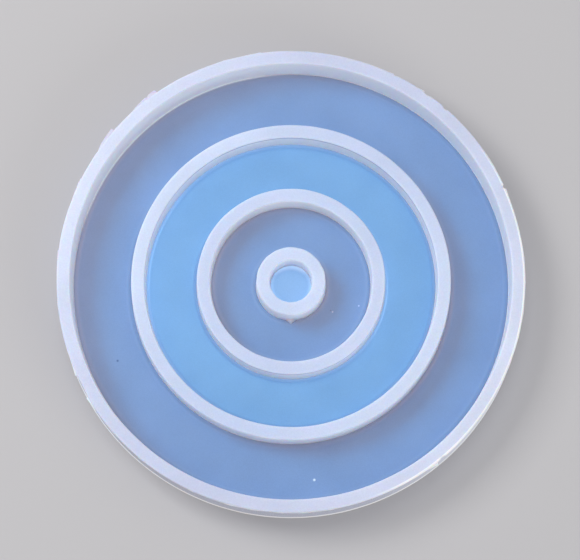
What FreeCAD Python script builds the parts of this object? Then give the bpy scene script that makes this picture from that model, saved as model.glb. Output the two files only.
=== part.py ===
"""Resin casting mould: one soft silicone moulding, written as its separate walls and floors.

Millimetres, +Z up. The origin is the centre of the flat underside. The mould is round about Z: an
outer wall, two lower ring walls and a hollow centre boss stand on a thin floor, which leaves four
open cavities. +Y is the back, and the small nib on the foot of the boss points to the front.
"""
import FreeCAD, Part
import math
import os

# Driving dimensions
MOULD_RADIUS = 75.0        # outer edge of the outer wall's rim
WALL_THICKNESS = 4.2       # rim width of every wall
FLOOR_THICKNESS = 2.4      # silicone under the cavities
OUTER_DEPTH = 13.6         # floor to the outer wall's rim
INNER_DEPTH = 9.1          # floor to the rims of the ring walls and the boss
MIDDLE_RING_RADIUS = 51.4  # outer edge of the middle ring wall
INNER_RING_RADIUS = 30.3   # outer edge of the inner ring wall
BOSS_RADIUS = 11.1         # outer edge of the centre boss

# Small shape details
DRAFT = 0.12               # how much a wall's face leans out from rim to foot
RIM_ROUND = 0.35           # rounding of the rim edges
FOOT_ROUND = 0.2           # hollow fillet where a wall meets a floor
FOOT_SHARPEN = 0.93        # under 1, the fillet meets wall and floor at a slight angle
BEAD_REACH = 0.3           # how far the bead on the bottom outer edge stands out
BEAD_HEIGHT = 1.0          # height of that bead

# Trimmed flash along the outer rim, and the nib left on the boss
FLASH_REACH = 0.3          # mean width of the skin that the trimming left
FLASH_WAVE = 0.06          # how much the straight cuts vary it
FLASH_THICKNESS = 0.5
FLASH_DROP = 0.45          # flash top below the rim
FLASH_CUTS = 60            # straight scissor cuts round the rim
FLASH_ROOT_SIDES = 240     # sides of the fine polygon along which it joins the round wall
NIB_LENGTH = 1.4
NIB_WIDTH = 5.2
NIB_HEIGHT = 1.6
NIB_TIP_HEIGHT = 0.5
NIB_SINK = 0.25            # how far its root reaches behind the boss's foot radius

FLOOR_TOP = FLOOR_THICKNESS
OUTER_TOP = FLOOR_THICKNESS + OUTER_DEPTH
INNER_TOP = FLOOR_THICKNESS + INNER_DEPTH
AXIS_START = FreeCAD.Vector(0, 0, 0)
AXIS = FreeCAD.Vector(0, 0, 1)


def point(radius, height):
    """A point of a profile, in the XZ plane."""
    return FreeCAD.Vector(radius, 0, height)


def corner_arc(start, corner, end, sharpen=1.0):
    """A quarter-round from start to end. It bends towards corner, all the way when sharpen is 1."""
    chord_middle = (start + end) * 0.5
    reach = (math.sqrt(2.0) - 1.0) * sharpen
    middle = chord_middle + (corner - chord_middle) * reach
    return Part.Arc(start, middle, end).toShape()


def lathe(edges):
    """Turns a closed profile once round Z into a solid."""
    face = Part.Face(Part.Wire(edges))
    turned = face.revolve(AXIS_START, AXIS, 360)
    solid = turned.Solids[0] if turned.Solids else Part.Solid(turned)
    return solid if solid.Volume > 0 else solid.reversed()


def line(start, end):
    return Part.LineSegment(start, end).toShape()


def rim_edges(inner, outer, top):
    """The rounded rim, walked from the inner face over the top to the outer face."""
    inner_side = point(inner, top - RIM_ROUND)
    inner_top = point(inner + RIM_ROUND, top)
    outer_top = point(outer - RIM_ROUND, top)
    outer_side = point(outer, top - RIM_ROUND)
    edges = [
        corner_arc(inner_side, point(inner, top), inner_top),
        line(inner_top, outer_top),
        corner_arc(outer_top, point(outer, top), outer_side),
    ]
    return edges, inner_side, outer_side


def foot_edges(rim_side, foot_radius, outwards):
    """A wall's face below the rim, down to the floor, with its hollow fillet on the floor.

    outwards is 1 for the face that looks away from Z and -1 for the one that looks towards it.
    """
    face_end = point(foot_radius, FLOOR_TOP + FOOT_ROUND)
    floor_end = point(foot_radius + outwards * FOOT_ROUND, FLOOR_TOP)
    fillet = corner_arc(face_end, point(foot_radius, FLOOR_TOP), floor_end, FOOT_SHARPEN)
    return [line(rim_side, face_end), fillet], floor_end


def standing_wall(outer_rim, top):
    """A wall with a cavity on both sides. It runs through the floor down to the underside."""
    inner_rim = outer_rim - WALL_THICKNESS
    outer_foot = outer_rim + DRAFT
    inner_foot = inner_rim - DRAFT
    rim, inner_side, outer_side = rim_edges(inner_rim, outer_rim, top)
    outer_face, outer_end = foot_edges(outer_side, outer_foot, 1)
    inner_face, inner_end = foot_edges(inner_side, inner_foot, -1)
    under = [
        line(outer_end, point(outer_foot, FLOOR_TOP)),
        line(point(outer_foot, FLOOR_TOP), point(outer_foot, 0)),
        line(point(outer_foot, 0), point(inner_foot, 0)),
        line(point(inner_foot, 0), point(inner_foot, FLOOR_TOP)),
        line(point(inner_foot, FLOOR_TOP), inner_end),
    ]
    return lathe(rim + outer_face + under + inner_face[::-1])


def outer_wall():
    """The tall wall round the mould: a cavity inside, and a bead along its bottom outer edge."""
    inner_rim = MOULD_RADIUS - WALL_THICKNESS
    inner_foot = inner_rim - DRAFT
    rim, inner_side, outer_side = rim_edges(inner_rim, MOULD_RADIUS, OUTER_TOP)
    inner_face, inner_end = foot_edges(inner_side, inner_foot, -1)
    bead_start = point(MOULD_RADIUS, BEAD_HEIGHT + BEAD_REACH)
    bead_top = point(MOULD_RADIUS + BEAD_REACH, BEAD_HEIGHT)
    bead_side = point(MOULD_RADIUS + BEAD_REACH, RIM_ROUND)
    bead_foot = point(MOULD_RADIUS + BEAD_REACH - RIM_ROUND, 0)
    outside = [
        line(outer_side, bead_start),
        line(bead_start, bead_top),
        line(bead_top, bead_side),
        corner_arc(bead_side, point(MOULD_RADIUS + BEAD_REACH, 0), bead_foot),
        line(bead_foot, point(inner_foot, 0)),
        line(point(inner_foot, 0), point(inner_foot, FLOOR_TOP)),
        line(point(inner_foot, FLOOR_TOP), inner_end),
    ]
    return lathe(rim + outside + inner_face[::-1])


def ring_floor(inner, outer):
    """The flat floor of a ring-shaped cavity, between the feet of two walls."""
    disc = Part.makeCylinder(outer, FLOOR_THICKNESS)
    return disc.cut(Part.makeCylinder(inner, FLOOR_THICKNESS))


def rim_flash():
    """The thin skin left along the outer rim by a run of uneven straight scissor cuts."""
    corners = []
    for cut in range(FLASH_CUTS):
        wander = math.sin(2.4 * cut) + math.sin(5.3 * cut + 1.0)
        angle = 2 * math.pi * (cut + 0.22 * math.sin(3.7 * cut)) / FLASH_CUTS
        radius = MOULD_RADIUS + FLASH_REACH + FLASH_WAVE * wander
        corners.append(FreeCAD.Vector(radius * math.cos(angle), radius * math.sin(angle), 0))
    root = []
    for step in range(FLASH_ROOT_SIDES):
        angle = 2 * math.pi * step / FLASH_ROOT_SIDES
        root.append(FreeCAD.Vector(MOULD_RADIUS * math.cos(angle), MOULD_RADIUS * math.sin(angle), 0))
    thickness = FreeCAD.Vector(0, 0, FLASH_THICKNESS)
    cut_plate = Part.Face(Part.makePolygon(corners + corners[:1])).extrude(thickness)
    wall_plate = Part.Face(Part.makePolygon(root + root[:1])).extrude(thickness)
    skin = cut_plate.cut(wall_plate).Solids[0]
    skin.translate(FreeCAD.Vector(0, 0, OUTER_TOP - FLASH_DROP - FLASH_THICKNESS))
    return skin


def boss_nib():
    """The little pointed tab on the front of the boss's foot."""
    root = BOSS_RADIUS + DRAFT - NIB_SINK
    tip = BOSS_RADIUS + DRAFT + NIB_LENGTH
    side = [
        FreeCAD.Vector(0, -root, FLOOR_TOP),
        FreeCAD.Vector(0, -tip, FLOOR_TOP),
        FreeCAD.Vector(0, -tip, FLOOR_TOP + NIB_TIP_HEIGHT),
        FreeCAD.Vector(0, -root, FLOOR_TOP + NIB_HEIGHT),
    ]
    slab = Part.Face(Part.makePolygon(side + side[:1])).extrude(FreeCAD.Vector(NIB_WIDTH, 0, 0))
    slab.translate(FreeCAD.Vector(-NIB_WIDTH / 2, 0, 0))
    plan = [
        FreeCAD.Vector(-NIB_WIDTH / 2, -root, 0),
        FreeCAD.Vector(0, -tip, 0),
        FreeCAD.Vector(NIB_WIDTH / 2, -root, 0),
    ]
    wedge = Part.Face(Part.makePolygon(plan + plan[:1])).extrude(FreeCAD.Vector(0, 0, OUTER_TOP))
    return slab.common(wedge).cut(centre_boss()).Solids[0]


def centre_boss():
    return standing_wall(BOSS_RADIUS, INNER_TOP)


def foot_outer(rim_radius):
    """Radius of a wall's outer face at its foot."""
    return rim_radius + DRAFT


def foot_inner(rim_radius):
    """Radius of a wall's inner face at its foot."""
    return rim_radius - WALL_THICKNESS - DRAFT


NODES = {
    "outer_wall": outer_wall(),
    "outer_channel_floor": ring_floor(foot_outer(MIDDLE_RING_RADIUS), foot_inner(MOULD_RADIUS)),
    "middle_ring_wall": standing_wall(MIDDLE_RING_RADIUS, INNER_TOP),
    "polished_ring_floor": ring_floor(foot_outer(INNER_RING_RADIUS), foot_inner(MIDDLE_RING_RADIUS)),
    "inner_ring_wall": standing_wall(INNER_RING_RADIUS, INNER_TOP),
    "inner_channel_floor": ring_floor(foot_outer(BOSS_RADIUS), foot_inner(INNER_RING_RADIUS)),
    "centre_boss": centre_boss(),
    "polished_boss_floor": Part.makeCylinder(foot_inner(BOSS_RADIUS), FLOOR_THICKNESS),
    "trimmed_rim_flash": rim_flash(),
    "boss_foot_nib": boss_nib(),
}

os.makedirs("parts", exist_ok=True)
for name, shape in NODES.items():
    shape.exportStep("parts/" + name + ".step")
    print(name, "solids", len(shape.Solids), "valid", shape.isValid(), "mm3", round(shape.Volume, 1))
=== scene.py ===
import math
import random

import bpy
from mathutils import Matrix, Vector, noise


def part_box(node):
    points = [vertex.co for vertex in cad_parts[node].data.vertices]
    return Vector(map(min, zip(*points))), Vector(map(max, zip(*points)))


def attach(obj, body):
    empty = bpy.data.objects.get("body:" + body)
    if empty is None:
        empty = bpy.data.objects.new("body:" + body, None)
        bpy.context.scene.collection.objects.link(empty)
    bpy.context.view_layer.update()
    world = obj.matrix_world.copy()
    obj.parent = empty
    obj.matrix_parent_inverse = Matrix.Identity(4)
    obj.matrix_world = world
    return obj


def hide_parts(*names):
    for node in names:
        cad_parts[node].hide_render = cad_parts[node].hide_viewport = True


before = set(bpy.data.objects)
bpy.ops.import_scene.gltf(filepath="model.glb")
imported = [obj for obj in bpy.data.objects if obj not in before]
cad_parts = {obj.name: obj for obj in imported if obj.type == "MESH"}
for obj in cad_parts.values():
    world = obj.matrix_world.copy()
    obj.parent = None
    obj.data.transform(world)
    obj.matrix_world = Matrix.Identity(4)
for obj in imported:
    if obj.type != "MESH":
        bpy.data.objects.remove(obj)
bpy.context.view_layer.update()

MM = 0.001
SEGMENTS = 360
RNG = random.Random(7)


# ---------------------------------------------------------------- sizes, read from the frame

def node_radius(node):
    """Largest distance of a CAD node's box from the round axis."""
    low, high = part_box(node)
    return (high[0] - low[0]) / 2


FLOOR_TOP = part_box("outer_channel_floor")[1][2]
OUTER_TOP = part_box("outer_wall")[1][2]
INNER_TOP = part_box("middle_ring_wall")[1][2]

WALL = 4.2 * MM            # rim width, as in the CAD model
DRAFT = 0.12 * MM          # a wall's foot stands this much proud of its rim
FOOT = 0.2 * MM            # fillet at a wall's foot
BEAD = 0.3 * MM            # bead round the bottom outer edge
BEAD_CIRCLE = 0.45 * MM    # radius of its rounding
BEAD_LEVEL = 0.62 * MM     # height of the rounding's centre
BEAD_TOP = 1.3 * MM        # where the bead meets the outer face
RIM_ROUND = 0.38 * MM      # soft edge of a rim

OUTER_RIM = node_radius("outer_wall") - BEAD
MIDDLE_RIM = node_radius("middle_ring_wall") - DRAFT - FOOT
INNER_RIM = node_radius("inner_ring_wall") - DRAFT - FOOT
BOSS_RIM = node_radius("centre_boss") - DRAFT - FOOT


def floor_start(rim):
    """Radius where the floor starts outside a wall, from the radius of the wall's rim."""
    return rim + DRAFT + FOOT


def floor_end(rim):
    """Radius where the floor ends inside a wall, from the radius of the wall's rim."""
    return rim - WALL - DRAFT - FOOT


# ---------------------------------------------------------------- profiles and lathe

def arc(centre, radius, start, end, steps):
    """Points of an arc in the (radius, height) plane. Angles in degrees, 0 outwards and 90 up."""
    points = []
    for step in range(steps + 1):
        angle = math.radians(start + (end - start) * step / steps)
        points.append((centre[0] + radius * math.cos(angle), centre[1] + radius * math.sin(angle)))
    return points


def stretch(start, end, steps):
    """Points along a straight stretch of a profile, without its two ends."""
    return [
        (start[0] + (end[0] - start[0]) * step / steps, start[1] + (end[1] - start[1]) * step / steps)
        for step in range(1, steps)
    ]


def rim_profile(inner, outer, top, round_inner=RIM_ROUND, round_outer=RIM_ROUND):
    """From the inner face over a softly crowned rim to the outer face."""
    left = arc((inner + round_inner, top - round_inner), round_inner, 180, 92, 6)
    right = arc((outer - round_outer, top - round_outer), round_outer, 88, 0, 6)
    return left + stretch(left[-1], right[0], 6) + right


def foot_profile(foot_radius, outwards):
    """The fillet from a wall's face down to the floor's surface."""
    centre = (foot_radius + outwards * FOOT, FLOOR_TOP + FOOT)
    start, end = (180, 270) if outwards > 0 else (0, -90)
    return arc(centre, FOOT, start, end, 6)


def standing_wall_profile(outer_rim, top):
    inner_rim = outer_rim - WALL
    outer_foot = outer_rim + DRAFT
    inner_foot = inner_rim - DRAFT
    rim = rim_profile(inner_rim, outer_rim, top)
    outer_side = foot_profile(outer_foot, 1)
    inner_side = foot_profile(inner_foot, -1)
    under = [(outer_foot + FOOT, 0.0), (inner_foot - FOOT, 0.0)]
    inner_face = stretch(inner_side[0], rim[0], 5)
    outer_face = stretch(rim[-1], outer_side[0], 5)
    return inner_side[::-1] + inner_face + rim + outer_face + outer_side + under


def outer_wall_profile():
    inner_rim = OUTER_RIM - WALL
    inner_foot = inner_rim - DRAFT
    rim = rim_profile(inner_rim, OUTER_RIM, OUTER_TOP)
    inner_side = foot_profile(inner_foot, -1)
    bead = arc((OUTER_RIM + BEAD - BEAD_CIRCLE, BEAD_LEVEL), BEAD_CIRCLE, 62, -55, 9)
    outer_face = stretch(rim[-1], (OUTER_RIM, BEAD_TOP), 8) + [(OUTER_RIM, BEAD_TOP)]
    under = [(OUTER_RIM - 0.25 * MM, 0.0), (inner_foot - FOOT, 0.0)]
    inner_face = stretch(inner_side[0], rim[0], 6)
    return inner_side[::-1] + inner_face + rim + outer_face + bead + under


def floor_profile(inner, outer, rings):
    """A flat ring of floor, walked round as a closed profile. inner 0 makes a disc."""
    top = [(inner + (outer - inner) * step / rings, FLOOR_TOP) for step in range(rings + 1)]
    return top + [(outer, 0.0), (inner, 0.0)]


def mesh_object(name, vertices, faces):
    mesh = bpy.data.meshes.new(name)
    mesh.from_pydata(vertices, [], faces)
    mesh.validate()
    for polygon in mesh.polygons:
        polygon.use_smooth = True
    piece = bpy.data.objects.new(name, mesh)
    bpy.context.scene.collection.objects.link(piece)
    return piece


def lathe(name, profile, shape=None, segments=SEGMENTS):
    """Turns a closed profile round Z. shape(r, z, angle) may move each ring point a little."""
    vertices = []
    for step in range(segments):
        angle = 2 * math.pi * step / segments
        for r, z in profile:
            if shape:
                r, z = shape(r, z, angle)
            vertices.append((r * math.cos(angle), r * math.sin(angle), z))
    count = len(profile)
    faces = []
    for step in range(segments):
        here, there = step * count, (step + 1) % segments * count
        for k in range(count):
            k2 = (k + 1) % count
            faces.append((here + k, here + k2, there + k2, there + k))
    return mesh_object(name, vertices, faces)


def disc(name, outer, rings, tuck):
    """The round floor inside the boss: a closed disc with a middle point on both sides.

    Its top edge reaches the distance tuck into the wall round it, whose foot is ragged.
    """
    segments = 96
    vertices = [(0, 0, FLOOR_TOP), (0, 0, 0)]
    radii = [outer * (ring + 1) / rings for ring in range(rings)]
    loops = [(r, FLOOR_TOP) for r in radii] + [(outer + tuck, FLOOR_TOP), (outer, 0.0)]
    for r, z in loops:
        for step in range(segments):
            angle = 2 * math.pi * step / segments
            vertices.append((r * math.cos(angle), r * math.sin(angle), z))
    faces = []
    for step in range(segments):
        after = (step + 1) % segments
        faces.append((0, 2 + step, 2 + after))
        last = 2 + (len(loops) - 1) * segments
        faces.append((1, last + after, last + step))
        for loop in range(len(loops) - 1):
            a, b = 2 + loop * segments, 2 + (loop + 1) * segments
            faces.append((a + step, b + step, b + after, a + after))
    return mesh_object(name, vertices, faces)


# ---------------------------------------------------------------- hand-poured unevenness

def clock_to_angle(clock):
    """Places round the mould are given as on a clock, in degrees: 0 at the back, 90 at the right."""
    return math.radians(90.0 - clock)


def clock_gap(angle, clock):
    """How many degrees an angle lies from a place on the clock."""
    turn = 90.0 - math.degrees(angle) - clock
    return abs((turn + 180.0) % 360.0 - 180.0)


def wander(angle, seed, scale=2.0):
    """A smooth, closed wobble round the mould, between about -1 and 1."""
    return noise.noise(Vector((scale * math.cos(angle), scale * math.sin(angle), seed)))


def uneven(seed, sideways, upwards):
    """A soft wall is never quite round or level. The higher up, the more it strays."""
    def shape(r, z, angle):
        rise = max(0.0, (z - FLOOR_TOP) / (OUTER_TOP - FLOOR_TOP))
        r += sideways * rise * (wander(angle, seed) + 0.5 * wander(angle, seed + 9, 6.0))
        z += upwards * rise * wander(angle, seed + 20, 4.0)
        return r, z
    return shape


# Nicks and cuts in the outer rim's edge: clock place, half width in degrees, depth.
NICKS = [
    (26.9, 0.6, 0.25 * MM),
    (36.1, 1.0, 0.3 * MM),
    (41.7, 0.8, 0.4 * MM),
    (66.3, 0.5, 0.5 * MM),
    (140.2, 0.9, 0.35 * MM),
    (242.4, 3.1, 0.25 * MM),
    (322.0, 0.5, 0.3 * MM),
]


def nick_depth(angle):
    depth = 0.0
    for clock, half, deepest in NICKS:
        share = clock_gap(angle, clock) / half
        if share < 1.0:
            depth = max(depth, deepest * (1.0 - share * share))
    return depth


def nicked_outer_wall(r, z, angle):
    """The outer wall's unevenness, with the nicks cut into the edge of its rim."""
    edge = min(1.0, max(0.0, (r - OUTER_RIM + 1.2 * MM) / (1.2 * MM)))
    near_top = min(1.0, max(0.0, (z - OUTER_TOP + 2.6 * MM) / (1.6 * MM)))
    r, z = uneven(1, 0.16 * MM, 0.1 * MM)(r, z, angle)
    cut = nick_depth(angle) * edge * near_top
    return r - cut, z - 0.35 * cut


RAGGED_REACH = 0.5 * MM    # more than the ragged foot of the boss's hole ever strays


def ragged_boss(r, z, angle):
    """The boss stands a little crooked, and the foot of its hole has a torn, wavy edge."""
    low = max(0.0, 1.0 - (z - FLOOR_TOP) / (1.2 * MM)) if z > 0.0 else 0.0
    if r < BOSS_RIM - WALL / 2:
        r += 0.24 * MM * low * wander(angle, 70, 7.0) + 0.22 * MM * low * wander(angle, 71, 21.0)
    return uneven(4, 0.25 * MM, 0.1 * MM)(r, z, angle)


# ---------------------------------------------------------------- trimmed flash

# Slivers left by the scissors: clock places of start and end, how far the edge stands out at the end, and
# the power by which it gets there. Under 1 it is broad all along, over 1 it is a point.
BROAD = 0.5
POINTED = 1.4
SLIVERS = [
    (317.0, 324.6, 1.3 * MM, BROAD),
    (304.2, 310.3, 1.15 * MM, BROAD),
    (346.0, 352.5, 0.3 * MM, POINTED),
    (288.0, 295.8, 0.4 * MM, POINTED),
    (269.0, 277.0, 0.35 * MM, POINTED),
    (249.5, 245.5, 0.45 * MM, POINTED),
    (234.0, 239.3, 0.6 * MM, POINTED),
    (146.5, 141.9, 0.85 * MM, POINTED),
    (70.5, 66.8, 0.35 * MM, POINTED),
    (22.0, 26.3, 0.25 * MM, POINTED),
    (31.0, 35.2, 0.35 * MM, POINTED),
]


def flash_cuts():
    """Clock places where one straight cut ends and the next starts, and the reach at each."""
    cuts = []
    clock = 0.0
    while clock < 356.0:
        reach = RNG.uniform(0.04, 0.22) * MM
        cuts.append((clock, reach))
        clock += RNG.uniform(3.2, 9.5)
    return cuts


FLASH_CUTS = flash_cuts()


def chord_radius(clock, first, second):
    """Radius at a clock angle on the straight cut between two corners."""
    (c1, r1), (c2, r2) = first, second
    a1, a2, a = math.radians(c1), math.radians(c2), math.radians(clock)
    across = math.sin(a2 - a1)
    return r1 * r2 * across / (r1 * math.sin(a - a1) + r2 * math.sin(a2 - a))


def flash_edge(clock):
    """How far out the trimmed edge stands at a clock angle, as a radius."""
    clock %= 360.0
    for k, (start, reach) in enumerate(FLASH_CUTS):
        after = FLASH_CUTS[(k + 1) % len(FLASH_CUTS)]
        end = after[0] if k + 1 < len(FLASH_CUTS) else 360.0
        if start <= clock <= end:
            radius = chord_radius(clock, (start, OUTER_RIM + reach), (end, OUTER_RIM + after[1]))
            break
    for start, end, reach, power in SLIVERS:
        share = (clock - start) / (end - start)
        if 0.0 <= share <= 1.0:
            radius = max(radius, OUTER_RIM + reach * share ** power)
    return radius


def rim_flash():
    """The thin skin round the rim: straight cuts, slivers and fine tooth marks."""
    steps = 1440
    low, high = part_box("trimmed_rim_flash")
    top, bottom = high[2], low[2]
    inside = OUTER_RIM - 0.35 * MM
    vertices = []
    for step in range(steps):
        clock = 360.0 * step / steps
        angle = clock_to_angle(clock)
        rough = 1.0 - min(1.0, clock_gap(angle, 297.0) / 18.0)
        tooth = (0.035 + 0.12 * rough) * MM * wander(angle, 50, 90.0)
        edge = max(flash_edge(clock) + tooth, OUTER_RIM + 0.02 * MM)
        curl = 0.12 * MM * wander(angle, 61, 5.0)
        section = [
            (inside, top),
            (OUTER_RIM, top),
            (edge - 0.03 * MM, top - 0.06 * MM + curl),
            (edge, top - 0.16 * MM + curl),
            (edge - 0.03 * MM, top - 0.25 * MM + curl),
            (OUTER_RIM, bottom),
            (inside, bottom),
        ]
        cut = nick_depth(angle)
        for r, z in section:
            vertices.append(((r - cut) * math.cos(angle), (r - cut) * math.sin(angle), z))
    count = 7
    faces = []
    for step in range(steps):
        here, there = step * count, (step + 1) % steps * count
        for k in range(count):
            k2 = (k + 1) % count
            faces.append((here + k, there + k, there + k2, here + k2))
    return mesh_object("rim_flash_skin", vertices, faces)


def foot_nib():
    """The pointed tab at the front of the boss's foot: concave sides, a sloping back and a soft tip."""
    low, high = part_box("boss_foot_nib")
    root = -(BOSS_RIM + DRAFT)
    tip = low[1]
    root_half = 1.7 * MM
    rows, columns = 14, 12
    vertices = []
    for row in range(rows + 1):
        along = row / rows
        y = root + (tip - root) * along
        width = root_half * (1 - along) ** 1.2 + 0.08 * MM
        height = (high[2] - FLOOR_TOP) * (1 - along) ** 1.3 + 0.16 * MM
        for column in range(columns + 1):
            turn = math.pi * column / columns
            vertices.append((width * math.cos(turn), y, FLOOR_TOP - 0.03 * MM + height * math.sin(turn)))
    faces = []
    stride = columns + 1
    for row in range(rows):
        start, after = row * stride, (row + 1) * stride
        for column in range(columns):
            faces.append((start + column, start + column + 1, after + column + 1, after + column))
        faces.append((start, after, after + columns, start + columns))
    faces.append(tuple(reversed(range(stride))))
    faces.append(tuple(rows * stride + k for k in range(stride)))
    return mesh_object("boss_nib_skin", vertices, faces)


# ---------------------------------------------------------------- materials

def srgb(red, green, blue):
    """A colour given as 0-255 screen values, as the linear values that a shader takes."""
    def linear(value):
        value /= 255.0
        return value / 12.92 if value <= 0.04045 else ((value + 0.055) / 1.055) ** 2.4
    return (linear(red), linear(green), linear(blue), 1.0)


class Material:
    """A Principled material with small helpers for patterns in the object's own coordinates."""

    def __init__(self, name):
        self.data = bpy.data.materials.new(name)
        self.data.use_nodes = True
        self.tree = self.data.node_tree
        self.shader = self.tree.nodes["Principled BSDF"]
        self.place = self.tree.nodes.new("ShaderNodeTexCoord").outputs["Object"]

    def link(self, output, socket):
        self.tree.links.new(output, socket)

    def noise(self, scale, detail=3.0, roughness=0.5):
        node = self.tree.nodes.new("ShaderNodeTexNoise")
        node.inputs["Scale"].default_value = scale
        node.inputs["Detail"].default_value = detail
        node.inputs["Roughness"].default_value = roughness
        self.link(self.place, node.inputs["Vector"])
        return node.outputs["Fac"]

    def remap(self, value, low, high, to_low=0.0, to_high=1.0):
        node = self.tree.nodes.new("ShaderNodeMapRange")
        node.inputs["From Min"].default_value = low
        node.inputs["From Max"].default_value = high
        node.inputs["To Min"].default_value = to_low
        node.inputs["To Max"].default_value = to_high
        self.link(value, node.inputs["Value"])
        return node.outputs["Result"]

    def mix(self, factor, first, second):
        node = self.tree.nodes.new("ShaderNodeMix")
        node.data_type = "RGBA"
        for socket, value in ((6, first), (7, second)):
            if hasattr(value, "links"):
                self.link(value, node.inputs[socket])
            else:
                node.inputs[socket].default_value = value
        self.link(factor, node.inputs[0])
        return node.outputs[2]

    def band(self, value, low, high, soft):
        """1 between low and high, fading to 0 over the distance soft outside them."""
        return self.times(self.remap(value, low - soft, low), self.remap(value, high + soft, high))

    def times(self, first, second):
        node = self.tree.nodes.new("ShaderNodeMath")
        node.operation = "MULTIPLY"
        self.link(first, node.inputs[0])
        self.link(second, node.inputs[1])
        return node.outputs[0]

    def scaled(self, colour, factor):
        """A fixed colour, made brighter or darker by a factor that varies."""
        node = self.tree.nodes.new("ShaderNodeVectorMath")
        node.operation = "SCALE"
        node.inputs[0].default_value = colour[:3]
        self.link(factor, node.inputs["Scale"])
        return node.outputs["Vector"]

    def along(self, direction):
        """Distance along a direction from the middle of the mould."""
        node = self.tree.nodes.new("ShaderNodeVectorMath")
        node.operation = "DOT_PRODUCT"
        node.inputs[1].default_value = direction
        self.link(self.place, node.inputs[0])
        return node.outputs["Value"]

    def distance(self, centre, flatten=(1.0, 1.0, 0.0)):
        """Distance from a point, by default measured sideways only, so from an upright line."""
        moved = self.tree.nodes.new("ShaderNodeVectorMath")
        moved.operation = "SUBTRACT"
        moved.inputs[1].default_value = centre
        self.link(self.place, moved.inputs[0])
        flat = self.tree.nodes.new("ShaderNodeVectorMath")
        flat.operation = "MULTIPLY"
        flat.inputs[1].default_value = flatten
        self.link(moved.outputs["Vector"], flat.inputs[0])
        length = self.tree.nodes.new("ShaderNodeVectorMath")
        length.operation = "LENGTH"
        self.link(flat.outputs["Vector"], length.inputs[0])
        return length.outputs["Value"]

    def height(self):
        node = self.tree.nodes.new("ShaderNodeSeparateXYZ")
        self.link(self.place, node.inputs[0])
        return node.outputs["Z"]

    def side(self, direction, start, full, radius=OUTER_RIM):
        """0 to 1 towards one side of the mould. start and full are shares of the radius on that side."""
        return self.remap(self.along(direction), start * radius, full * radius)

    def colour_with(self, colour):
        self.link(colour, self.shader.inputs["Base Color"])

    def gloss(self, low, high, scale=160.0):
        """Roughness that drifts between two values from place to place."""
        self.link(self.remap(self.noise(scale, 2.0), 0.3, 0.7, low, high), self.shader.inputs["Roughness"])

    def grain(self, scale, strength, depth):
        """Fine bumps of a depth in metres."""
        node = self.tree.nodes.new("ShaderNodeBump")
        node.inputs["Strength"].default_value = strength
        node.inputs["Distance"].default_value = depth
        self.link(self.noise(scale, 3.0, 0.6), node.inputs["Height"])
        self.link(node.outputs["Normal"], self.shader.inputs["Normal"])

    def translucent(self, ior, glow, depth):
        self.shader.inputs["IOR"].default_value = ior
        self.shader.inputs["Subsurface Weight"].default_value = glow
        self.shader.inputs["Subsurface Radius"].default_value = (1.0, 0.6, 0.4)
        self.shader.inputs["Subsurface Scale"].default_value = depth


GRAIN = 0.03          # how far the finest grain of a surface strays from its colour


def mottled(made, colour, spread):
    """A colour that drifts a little over centimetres, as cloudy poured rubber does, and is finely grained."""
    drift = made.remap(made.noise(55.0, 4.0), 0.32, 0.68, 1.0 - spread, 1.0 + spread)
    grain = made.remap(made.noise(2400.0, 1.0), 0.3, 0.7, 1.0 - GRAIN, 1.0 + GRAIN)
    return made.scaled(colour, made.times(drift, grain))


SILICONE_IOR = 1.41
FLOOR_IOR = 1.5            # a little more, for the floors' sheen
CREASE_SHADE_TOP = 0.6 * MM        # a painted shade line, for the shadow of a crease, lies on the ring walls between these depths below the rim
CREASE_SHADE_BOTTOM = 1.3 * MM

# Painted light: the rims are painted whiter towards the two ends of this line across the mould, which runs
# along the key light.
PAINTED_LIGHT_AXIS = (0.9, -0.43, 0.0)

# The side nearest the key light. The outer wall shades the floor there, and a painted highlight gives its
# foot a bright line.
KEY_SIDE = (-0.616, 0.788, 0.0)
PAINTED_HIGHLIGHT_SPAN = (0.78, 0.88)     # where that painted highlight fades in, as shares of the radius towards that side

# The side where the light has come through the whole mould. The outer rim's edge and outer face are painted
# lighter on this side, as painted light.
PAINTED_LIGHT_SIDE = (0.954, -0.3, 0.0)


def painted_foot_highlight(made, height):
    """Mask of a painted highlight: 1 low on the outer wall along the side nearest the key light, before the
    outer face is coloured.
    """
    low = made.remap(height, FLOOR_TOP + FOOT + 0.3 * MM, FLOOR_TOP + FOOT + 0.1 * MM)
    shaded = made.side(KEY_SIDE, *PAINTED_HIGHLIGHT_SPAN)
    return made.times(low, shaded)


def painted_edge_highlight(made, radius, height):
    """Mask of a painted highlight: 1 on the outer rim's outer edge along the side away from the key light."""
    edge = made.remap(radius, OUTER_RIM - 0.75 * MM, OUTER_RIM - 0.55 * MM)
    high = made.remap(height, OUTER_TOP - 0.7 * MM, OUTER_TOP - 0.4 * MM)
    lit_through_paint = made.side(PAINTED_LIGHT_SIDE, 0.6, 0.75)
    return made.times(made.times(edge, high), lit_through_paint)


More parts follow.
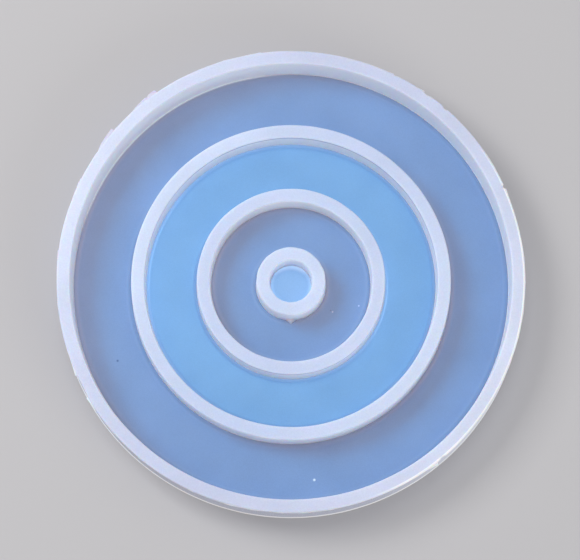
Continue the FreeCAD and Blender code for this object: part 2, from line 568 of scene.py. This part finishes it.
def painted_outer_face(made, radius, height):
    """Where the outer wall's outer face shows below the rim, and its colour: a dull, grainy grey, darkened as
    painted shade under the rim, over a bead painted near white as a painted highlight.

    On the side away from the key light the face is painted nearly as bright as the rim's edge, as painted
    light. On the key side the bead is tinted warmer to offset the cool key light.
    """
    grain = made.remap(made.noise(4200.0, 2.0, 0.7), 0.35, 0.65)
    lit_through_paint = made.side(PAINTED_LIGHT_SIDE, 0.62, 0.98)
    # Painted shade: the outer face is painted grey for the shade under the rim, with real grain in it; on the
    # lit-through side it is painted light.
    dull = made.mix(grain, srgb(172, 177, 196), srgb(218, 221, 236))
    dull = made.mix(lit_through_paint, dull, srgb(234, 238, 250))
    bead = made.remap(height, BEAD_TOP + 0.05 * MM, BEAD_TOP - 0.2 * MM)
    near_key = made.side(KEY_SIDE, 0.1, 0.5)
    # Painted highlight: the bead is painted near white, and warmer on the key side to offset the cool key
    # light.
    bead_highlight_colour = made.mix(near_key, srgb(250, 252, 255), srgb(248, 244, 249))
    outside = made.remap(radius, OUTER_RIM - 0.65 * MM, OUTER_RIM - 0.45 * MM)
    below_rim = made.remap(height, OUTER_TOP - 0.35 * MM, OUTER_TOP - 0.9 * MM)
    return made.times(outside, below_rim), made.mix(bead, dull, bead_highlight_colour)


class Wall(Material):
    """Milky rubber: a cool rim, painted whiter along the key light's axis as painted light, and faces painted
    whiter still as painted glow for the light inside the wall, on top of the real subsurface glow.
    """

    def __init__(self, name, top, rim_colours, glow_depth):
        super().__init__(name)
        self.wall_height = self.height()
        self.radius = self.distance((0.0, 0.0, 0.0))
        # Painted light: the rim is painted whiter along the key light's axis.
        across = self.along(PAINTED_LIGHT_AXIS)
        painted_rim_light = self.remap(self.times(across, across), 0.0, OUTER_RIM ** 2)
        plain, lit_rim_colour = rim_colours
        rim = self.mix(painted_rim_light, mottled(self, plain, 0.03), mottled(self, lit_rim_colour, 0.03))
        # Painted glow: the faces are painted whiter than the rim for the light inside the wall.
        face = mottled(self, srgb(238, 242, 255), 0.015)
        self.colour = self.mix(self.remap(self.wall_height, top - 0.12 * MM, top - 0.3 * MM), rim, face)
        self.translucent(SILICONE_IOR, 0.8, glow_depth)

    def finish(self):
        self.colour_with(self.colour)
        self.gloss(0.42, 0.52)
        self.grain(2600.0, 0.35, 0.02 * MM)
        return self.data


def outer_wall_material(rim_colours):
    made = Wall("outer_wall_silicone", OUTER_TOP, rim_colours, 2.5 * MM)
    painted_face, painted_face_colour = painted_outer_face(made, made.radius, made.wall_height)
    foot = painted_foot_highlight(made, made.wall_height)
    edge = painted_edge_highlight(made, made.radius, made.wall_height)
    # Painted highlight: a bright line at the outer wall's foot on the key side.
    made.colour = made.mix(foot, made.colour, srgb(228, 248, 255))
    # Painted shade and light on the outer face, and a painted highlight on its bead.
    made.colour = made.mix(painted_face, made.colour, painted_face_colour)
    # Painted highlight along the outer rim's edge on the side away from the key light.
    made.colour = made.mix(edge, made.colour, srgb(253, 254, 255))
    glow = made.times(made.remap(foot, 0.0, 1.0, 1.0, 0.0), made.remap(painted_face, 0.0, 1.0, 0.8, 0.1))
    made.link(glow, made.shader.inputs["Subsurface Weight"])
    return made.finish()


def ring_wall_material(name, rim_colours, polished_side):
    """polished_side is the range of radii where the wall faces the polished floor, with a grey line of
    painted shade under the rim for a crease's shadow.
    """
    made = Wall(name, INNER_TOP, rim_colours, 4.0 * MM)
    line = made.band(made.wall_height, INNER_TOP - CREASE_SHADE_BOTTOM, INNER_TOP - CREASE_SHADE_TOP, 0.25 * MM)
    there = made.band(made.radius, *polished_side, 0.2 * MM)
    # Painted shade: a grey line under the rim on the polished side, for a crease's shadow.
    made.colour = made.mix(made.times(line, there), made.colour, srgb(175, 183, 208))
    return made.finish()


def boss_material(rim_colours):
    return Wall("boss_silicone", INNER_TOP, rim_colours, 6.0 * MM).finish()


def flash_material():
    """The trimmed skin is thinner than the walls, so it is glossier. It is greyer nearest the key light."""
    made = Material("flash_silicone")
    near_key = made.side(KEY_SIDE, 0.3, 0.7)
    bright, dull = mottled(made, srgb(236, 240, 250), 0.05), mottled(made, srgb(216, 214, 229), 0.08)
    made.colour_with(made.mix(near_key, bright, dull))
    made.gloss(0.25, 0.42, scale=900.0)
    made.grain(2600.0, 0.4, 0.03 * MM)
    made.translucent(SILICONE_IOR, 0.8, 0.6 * MM)
    return made.data


# Specks of dust and tiny bubbles in the satin floors: across, along, radius in mm, and colour.
SPECKS = [
    (12.9, -8.1, 0.3, srgb(112, 126, 158)),
    (13.5, -8.6, 0.34, srgb(196, 208, 232)),
    (22.0, -6.6, 0.34, srgb(196, 214, 244)),
    (7.5, -63.2, 0.55, srgb(226, 240, 252)),
    (-56.0, -24.6, 0.5, srgb(70, 104, 152)),
]


def with_specks(made, colour):
    for across, along, size, tint in SPECKS:
        away = made.distance((across * MM, along * MM, 0.0))
        colour = made.mix(made.remap(away, size * MM, 0.35 * size * MM), colour, tint)
    return colour


def satin_floor_material(starts, ends):
    """The dull floors, painted lighter beside the white walls as painted light from them, and with a painted
    highlight beside the outer wall's foot on the key side. The radii are where such a floor starts and ends.
    """
    made = Material("satin_floor")
    radius = made.distance((0.0, 0.0, 0.0))
    colour = with_specks(made, mottled(made, srgb(123, 154, 196), 0.04))
    # Painted light: the floor is painted lighter within 2 mm of each wall's foot.
    for foot in starts + ends:
        colour = made.mix(made.band(radius, foot, foot, 2.0 * MM), colour, srgb(143, 169, 203))
    # Painted highlight: a bright strip beside the outer wall's foot on the key side.
    last = max(ends)
    highlight_strip = made.remap(radius, last - 0.5 * MM, last)
    shaded = made.side(KEY_SIDE, *PAINTED_HIGHLIGHT_SPAN, radius=last)
    colour = made.mix(made.times(highlight_strip, shaded), colour, srgb(208, 238, 255))
    made.colour_with(colour)
    made.gloss(0.46, 0.54)
    made.grain(3000.0, 0.35, 0.01 * MM)
    made.translucent(FLOOR_IOR, 0.2, 1.0 * MM)
    return made.data


class PolishedFloor(Material):
    """A glossy floor between two radii. Beside the white walls it is painted lighter, as painted light from
    them.
    """

    def __init__(self, name, middle_colour, wall_light_colour, edge_width, inner, outer):
        super().__init__(name)
        self.radius = self.distance((0.0, 0.0, 0.0))
        wall_light = [self.remap(self.radius, outer - edge_width, outer)]
        if inner:
            wall_light.append(self.remap(self.radius, inner + edge_width, inner))
        self.colour = mottled(self, middle_colour, 0.03)
        for edge in wall_light:
            self.colour = self.mix(edge, self.colour, wall_light_colour)

    def finish(self):
        self.colour_with(self.colour)
        self.gloss(0.18, 0.24)
        self.grain(900.0, 0.35, 0.004 * MM)
        self.shader.inputs["Specular Tint"].default_value = (0.5, 0.8, 1.0, 1.0)
        self.translucent(FLOOR_IOR, 0.2, 1.0 * MM)
        return self.data


def ring_floor_material(inner, outer):
    # The middle colour, and the colour painted beside the walls as painted light.
    colours = (srgb(115, 160, 205), srgb(158, 190, 224))
    return PolishedFloor("polished_floor", *colours, 1.4 * MM, inner, outer).finish()


def hole_floor_material(outer):
    """The floor inside the boss, with painted light from the wall behind it on its back edge."""
    # The middle colour, and the colour painted beside the wall as painted light.
    colours = (srgb(140, 174, 211), srgb(172, 202, 232))
    made = PolishedFloor("boss_floor", *colours, 1.2 * MM, 0.0, outer)
    # Painted light on the back edge, from the wall behind it.
    wall_light = made.remap(made.radius, outer - 1.8 * MM, outer)
    back = made.side((0.0, 1.0, 0.0), 0.5, 0.85, radius=outer)
    made.colour = made.mix(made.times(wall_light, back), made.colour, srgb(206, 228, 249))
    return made.finish()


def make_materials():
    # Each pair is a rim's own colour, then its colour painted whiter along the key light's axis as painted
    # light.
    outer_colours = (srgb(203, 207, 226), srgb(218, 223, 238))
    inner_colours = (srgb(201, 210, 231), srgb(219, 229, 242))
    boss_colours = (srgb(205, 215, 235), srgb(220, 230, 243))
    inside_middle = (0.0, MIDDLE_RIM - WALL / 2)
    outside_inner = (INNER_RIM - WALL / 2, OUTER_RIM)
    satin_starts = (floor_start(BOSS_RIM), floor_start(MIDDLE_RIM))
    satin_ends = (floor_end(INNER_RIM), floor_end(OUTER_RIM))
    return {
        "outer": outer_wall_material(outer_colours),
        "middle": ring_wall_material("middle_wall_silicone", inner_colours, inside_middle),
        "inner": ring_wall_material("inner_wall_silicone", inner_colours, outside_inner),
        "boss": boss_material(boss_colours),
        "flash": flash_material(),
        "satin": satin_floor_material(satin_starts, satin_ends),
        "polished": ring_floor_material(floor_start(INNER_RIM), floor_end(MIDDLE_RIM)),
        "well": hole_floor_material(floor_end(BOSS_RIM)),
    }


# ---------------------------------------------------------------- the pieces

def finish_piece(piece, material, node):
    """Gives a piece its material, hides the CAD node it stands for, and hangs it on the root body."""
    piece.data.materials.append(material)
    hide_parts(node)
    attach(piece, "root")
    return piece


def build():
    skins = make_materials()
    middle_profile = standing_wall_profile(MIDDLE_RIM, INNER_TOP)
    inner_profile = standing_wall_profile(INNER_RIM, INNER_TOP)
    boss_profile = standing_wall_profile(BOSS_RIM, INNER_TOP)
    middle_shape = uneven(2, 0.2 * MM, 0.1 * MM)
    inner_shape = uneven(3, 0.2 * MM, 0.1 * MM)
    walls = [
        ("outer_wall_skin", outer_wall_profile(), nicked_outer_wall, 1080, "outer", "outer_wall"),
        ("middle_ring_skin", middle_profile, middle_shape, 480, "middle", "middle_ring_wall"),
        ("inner_ring_skin", inner_profile, inner_shape, 360, "inner", "inner_ring_wall"),
        ("centre_boss_skin", boss_profile, ragged_boss, 240, "boss", "centre_boss"),
    ]
    pieces = []
    for name, profile, shape, segments, skin, node in walls:
        piece = lathe(name, profile, shape, segments)
        pieces.append(finish_piece(piece, skins[skin], node))
    floors = [
        ("outer_channel_skin", MIDDLE_RIM, OUTER_RIM, "satin", "outer_channel_floor"),
        ("polished_ring_skin", INNER_RIM, MIDDLE_RIM, "polished", "polished_ring_floor"),
        ("inner_channel_skin", BOSS_RIM, INNER_RIM, "satin", "inner_channel_floor"),
    ]
    for name, inner_wall, outer_wall, skin, node in floors:
        piece = lathe(name, floor_profile(floor_start(inner_wall), floor_end(outer_wall), 12))
        pieces.append(finish_piece(piece, skins[skin], node))
    well = disc("polished_boss_skin", floor_end(BOSS_RIM), 6, RAGGED_REACH)
    pieces.append(finish_piece(well, skins["well"], "polished_boss_floor"))
    pieces.append(finish_piece(rim_flash(), skins["flash"], "trimmed_rim_flash"))
    pieces.append(finish_piece(foot_nib(), skins["boss"], "boss_foot_nib"))
    return pieces


# ---------------------------------------------------------------- stage, lights and camera

def stage():
    size = 4.0
    vertices = [(-size, -size, 0), (size, -size, 0), (size, size, 0), (-size, size, 0)]
    ground = mesh_object("pale_floor", vertices, [(0, 1, 2, 3)])
    ground.location.z = -0.02 * MM
    made = Material("pale_floor")
    made.shader.inputs["Base Color"].default_value = srgb(196, 195, 198)
    made.shader.inputs["Roughness"].default_value = 0.8
    ground.data.materials.append(made.data)
    return ground


def area_light(name, towards, distance, size, power, colour, receivers=None):
    """A soft square light at the end of the direction towards, looking back at the mould."""
    data = bpy.data.lights.new(name, "AREA")
    data.size = size
    data.energy = power
    data.color = colour
    lamp = bpy.data.objects.new(name, data)
    lamp.location = Vector(towards).normalized() * distance
    lamp.rotation_mode = "QUATERNION"
    lamp.rotation_quaternion = (-lamp.location).to_track_quat("-Z", "Y")
    bpy.context.scene.collection.objects.link(lamp)
    if receivers:
        lamp.light_linking.receiver_collection = receivers
    return data


def group(name, members):
    collection = bpy.data.collections.new(name)
    for member in members:
        collection.objects.link(member)
    return collection


def lights(matt, polished, ground):
    """A soft grey room, a soft key from the back left, a fill from the front and a box overhead.

    The key's cool part is stopped by the walls. Its warm part goes through them, as it does through
    milky rubber, so the shadows in the mould are grey and not deep blue. The polished floors take both
    parts without shadows, because what shows there is a mirror image of the room. The pale floor's key
    is white.
    """
    world = bpy.data.worlds.new("soft_room")
    world.use_nodes = True
    sky = world.node_tree.nodes["Background"]
    sky.inputs["Color"].default_value = (1.0, 0.975, 0.95, 1.0)
    sky.inputs["Strength"].default_value = 0.54
    bpy.context.scene.world = world
    key = {"towards": (-0.87, 0.5, 1.15), "distance": 1.0, "size": 0.45}
    cool = {"power": 5.15, "colour": (0.07, 0.64, 1.0)}
    warm = {"power": 4.1, "colour": (1.0, 0.43, 0.2)}
    area_light("key_cool", **key, **cool, receivers=matt)
    area_light("key_through_walls", **key, **warm, receivers=matt).use_shadow = False
    area_light("key_cool_on_polish", **key, **cool, receivers=polished).use_shadow = False
    area_light("key_warm_on_polish", **key, **warm, receivers=polished).use_shadow = False
    area_light("key_on_floor", **key, power=4.0, colour=(1.0, 1.0, 1.0), receivers=ground)
    area_light("front_fill", (0.65, -0.68, 0.34), 1.3, 0.8, 4.7, (0.92, 0.96, 1.0))
    area_light("overhead", (-0.02, 0.175, 1.0), 1.0, 0.28, 1.0, (0.94, 0.98, 1.0))


def camera():
    """Nearly overhead, leaning to the front. +Y is up in the picture."""
    tilt = math.radians(10.0)
    distance = 0.93
    view_width = 188.3 * MM          # how much of the floor the picture spans
    aim = Vector((-0.3 * MM, 1.9 * MM, FLOOR_TOP))
    away = Vector((0.0, -math.sin(tilt), math.cos(tilt)))
    data = bpy.data.cameras.new("camera")
    data.sensor_width = 36.0
    data.lens = data.sensor_width * distance / view_width
    data.clip_start = 0.05
    made = bpy.data.objects.new("camera", data)
    right = Vector((0, 1, 0)).cross(away).normalized()
    up = away.cross(right)
    turned = Matrix((right, up, away)).transposed().to_4x4()
    made.matrix_world = Matrix.Translation(aim + away * distance) @ turned
    bpy.context.scene.collection.objects.link(made)
    bpy.context.scene.camera = made


mould = build()
shiny = [piece for piece in mould if piece.name.startswith("polished")]
matt = [piece for piece in mould if piece not in shiny]
ground = stage()
lights(group("matt", matt), group("polished", shiny), group("ground", [ground]))
camera()
bpy.context.scene.view_settings.view_transform = "Standard"
